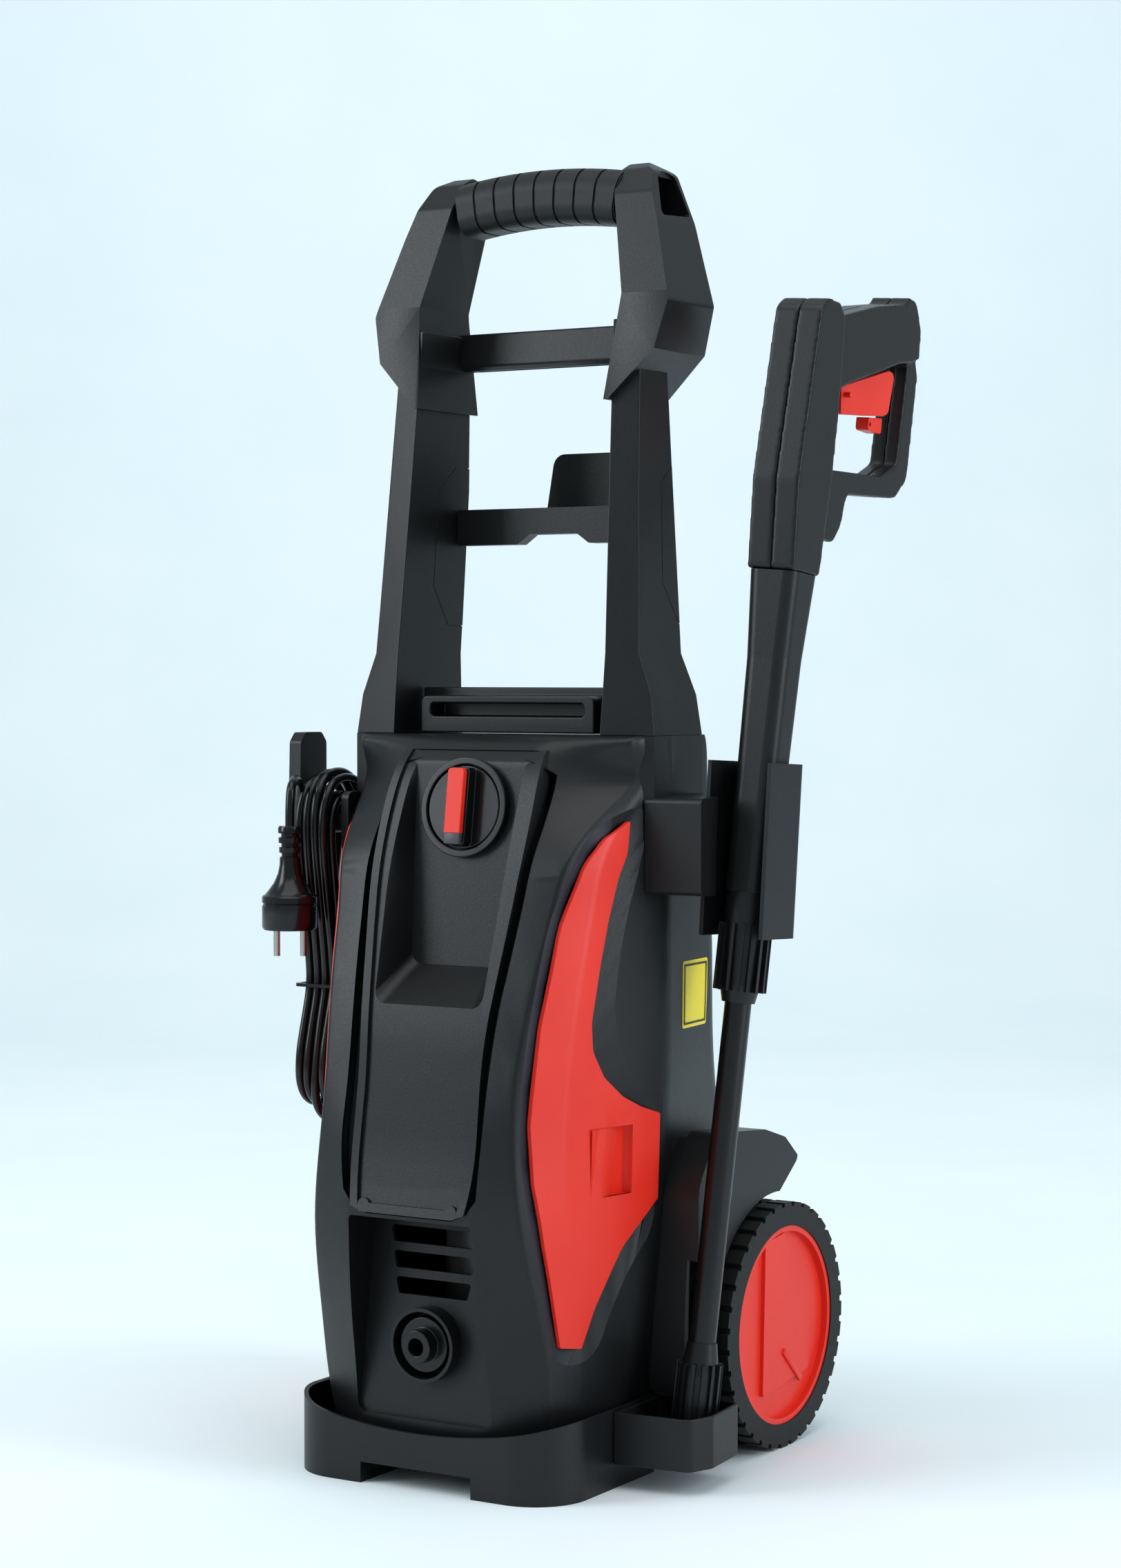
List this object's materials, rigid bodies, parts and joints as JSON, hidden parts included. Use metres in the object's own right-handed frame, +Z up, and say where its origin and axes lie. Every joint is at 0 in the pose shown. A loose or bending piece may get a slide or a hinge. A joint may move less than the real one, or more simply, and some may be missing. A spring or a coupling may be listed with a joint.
{
  "type": "pressure washer",
  "caption": "Upright two-wheeled electric pressure washer with a loop handle, front knob, hose outlet, spray gun and lance clipped on the right and a coiled mains cable on the left.",
  "frame": {"origin": "middle of the footprint on the floor, measured without the mains cable, its coil and its plug", "axes": "+Z up; -Y is the front with the knob and the hose outlet; +X is the side with the gun and lance"},
  "size_m": [0.4098, 0.3626, 0.9135],
  "materials": {
    "charcoal": "fine moulded texture",
    "black": "satin moulded",
    "red": "semi-gloss moulded",
    "tyre": "matte",
    "grip": "soft matte",
    "cord": "glossy jacket",
    "steel": "turned",
    "chrome": "polished",
    "brass": "machined",
    "alloy": "cast",
    "iron": "laminated core",
    "yellow": "printed film"
  },
  "bodies": {
    "machine": {"base_tray": "black", "front_hood": "charcoal", "tongue_cover": "black", "grille_panel": "black", "right_inlay": "red", "left_inlay": "red", "rear_shell": "charcoal", "accessory_bar": "black", "right_upright": "charcoal", "left_upright": "charcoal", "right_insert": "black", "left_insert": "black", "hose_hanger": "black", "handle_yoke": "charcoal", "handle_grip": "grip", "crossbar": "charcoal", "switch_bezel": "chrome", "switch_box": "black", "motor_housing": "alloy", "motor_bearings": "steel", "pump_block": "alloy", "outlet_connector": "brass", "inlet_connector": "brass", "wheel_axle": "steel", "axle_washers": "steel", "right_fender": "charcoal", "left_fender": "charcoal", "lance_clip": "black", "lance_cup": "black", "cable_hook": "black", "strain_relief": "cord", "cord_lead": "cord", "cord_hank": "cord", "cord_tail": "cord", "cord_tie": "cord", "plug_body": "cord", "plug_pins": "chrome", "shell_screws": "steel", "noise_label": "yellow"},
    "knob": {"switch_knob": "black", "knob_pointer": "red", "switch_shaft": "steel"},
    "right_wheel": {"right_tyre": "tyre", "right_hub": "red"},
    "left_wheel": {"left_tyre": "tyre", "left_hub": "red"},
    "rotor": {"motor_rotor": "iron", "cooling_fan": "black"},
    "gun": {"gun_left_shell": "charcoal", "gun_right_shell": "charcoal", "valve_cartridge": "brass", "hose_inlet": "brass"},
    "lance": {"gun_extension": "charcoal", "lance_collar": "black", "lance_tube": "steel", "nozzle_tip": "brass"},
    "nozzle": {"nozzle_body": "black"},
    "trigger": {"trigger": "red"},
    "trigger_lock": {"trigger_lock": "red"},
    "lance_release": {"lance_release": "red"}
  },
  "joints": [
    {"name": "knob_turn", "type": "hinge", "parent": "machine", "child": "knob", "pos_m": [-0.0221, -0.10359, 0.462], "axis": [0, -0.9905, 0.1377], "range_deg": [-50, 0]},
    {"name": "right_wheel_roll", "type": "hinge", "parent": "machine", "child": "right_wheel", "pos_m": [0.1149, 0.0751, 0.088], "axis": [1, 0, 0], "continuous": true},
    {"name": "left_wheel_roll", "type": "hinge", "parent": "machine", "child": "left_wheel", "pos_m": [-0.1591, 0.0751, 0.088], "axis": [1, 0, 0], "continuous": true},
    {"name": "rotor_spin", "type": "hinge", "parent": "machine", "child": "rotor", "pos_m": [-0.0221, -0.0509, 0.25], "axis": [0, 0, 1], "continuous": true},
    {"name": "gun_lift", "type": "slide", "parent": "machine", "child": "gun", "axis": [0.0663, 0.0927, 0.9935], "range_m": [0, 0.04]},
    {"name": "lance_twist", "type": "hinge", "parent": "gun", "child": "lance", "pos_m": [0.16653, 0.00514, 0.6242], "axis": [0.0663, 0.0927, 0.9935], "range_deg": [0, 45]},
    {"name": "nozzle_twist", "type": "hinge", "parent": "lance", "child": "nozzle", "pos_m": [0.12923, -0.04705, 0.06487], "axis": [0.0663, 0.0927, 0.9935], "range_deg": [0, 90]},
    {"name": "trigger_pull", "type": "hinge", "parent": "gun", "child": "trigger", "pos_m": [0.17493, 0.06308, 0.7501], "axis": [0.9978, 0, -0.0666], "range_deg": [0, 8], "stiffness_Nm_per_rad": 0.6, "springref_deg": -5.73},
    {"name": "trigger_lock_flip", "type": "hinge", "parent": "trigger", "child": "trigger_lock", "pos_m": [0.17377, 0.1147, 0.73278], "axis": [0.9978, 0, -0.0666], "range_deg": [-35, 0]},
    {"name": "release_press", "type": "slide", "parent": "gun", "child": "lance_release", "axis": [0.0062, -0.9957, 0.0925], "range_m": [0, 0.0025], "stiffness_N_per_m": 300, "springref_m": -0.001}
  ]
}
